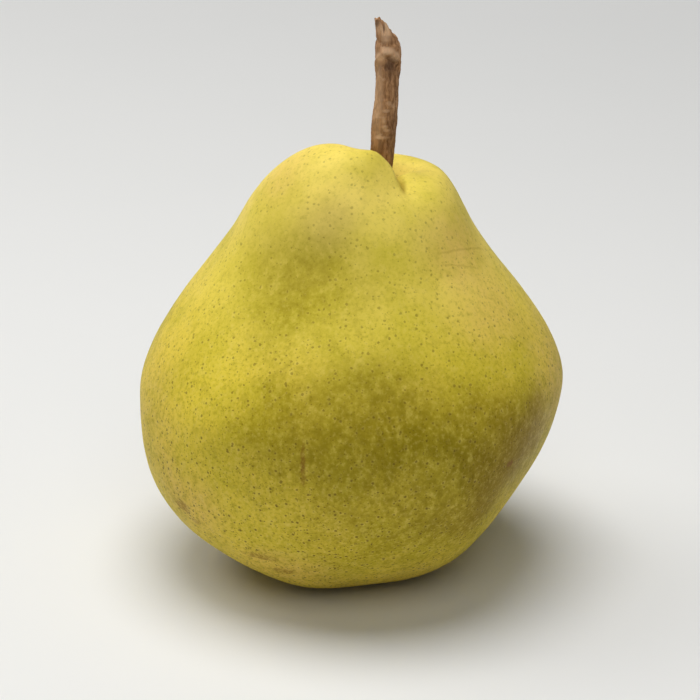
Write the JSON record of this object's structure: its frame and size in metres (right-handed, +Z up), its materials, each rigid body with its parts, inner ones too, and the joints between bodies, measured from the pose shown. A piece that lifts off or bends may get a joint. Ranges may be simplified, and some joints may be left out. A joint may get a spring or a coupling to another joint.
{
  "type": "pear",
  "caption": "Upright ripe pear with a high shoulder beside its woody stem, a full belly, and a dried calyx in the basin underneath.",
  "frame": {"origin": "on the surface that the pear stands on, under the middle of the fruit's footprint", "axes": "+Z up along the pear, -Y towards its front, +X to the right as seen from the front"},
  "size_m": [0.0878, 0.087, 0.1172],
  "materials": {
    "pear_skin": "waxy yellow-green skin, semi-matte, with fine brown lenticel dots and faint tan russet",
    "stem_wood": "rough grey-brown bark",
    "dried_calyx": "dry, dull dark brown"
  },
  "bodies": {
    "root": {"fruit_body": "pear_skin", "stem": "stem_wood", "sepal_1": "dried_calyx", "sepal_2": "dried_calyx", "sepal_3": "dried_calyx", "sepal_4": "dried_calyx", "sepal_5": "dried_calyx", "dried_stamens": "dried_calyx"}
  },
  "joints": []
}
